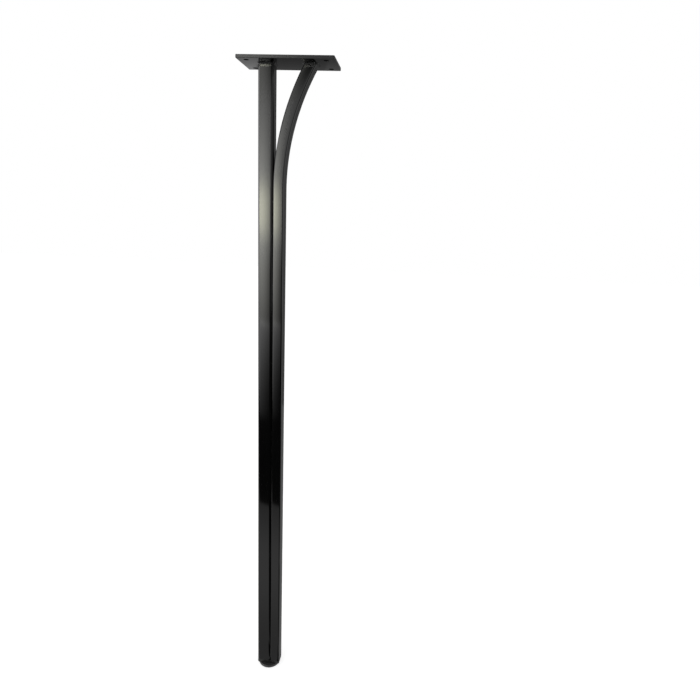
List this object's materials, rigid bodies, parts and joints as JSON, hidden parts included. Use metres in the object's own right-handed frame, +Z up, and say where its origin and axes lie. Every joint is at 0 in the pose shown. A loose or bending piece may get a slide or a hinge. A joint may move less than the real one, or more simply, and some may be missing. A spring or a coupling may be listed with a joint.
{
  "type": "metal furniture leg",
  "caption": "Black painted steel furniture leg: flat mounting plate, straight square tube, narrower tube flush beside it that curves out to the plate, and a round foot glide.",
  "frame": {"origin": "middle of the mounting plate's top face, which lies against the underside of the table top", "axes": "+Z up out of the plate's top face, +X from the straight tube towards the top of the curved tube, +Y towards the side with the stitch welds"},
  "size_m": [0.12, 0.062, 0.88],
  "materials": {
    "painted_steel": "gloss black powder coat",
    "painted_weld": "black powder coat over weld beads",
    "glide_nylon": "moulded black nylon",
    "screw_steel": "zinc plated"
  },
  "bodies": {
    "root": {"mounting_plate": "painted_steel", "upright_tube": "painted_steel", "curved_tube": "painted_steel", "upright_weld": "painted_weld", "curved_tube_weld": "painted_weld", "seam_welds": "painted_weld", "end_plate": "painted_steel", "foot_glide": "glide_nylon", "glide_screw": "screw_steel"}
  },
  "joints": []
}
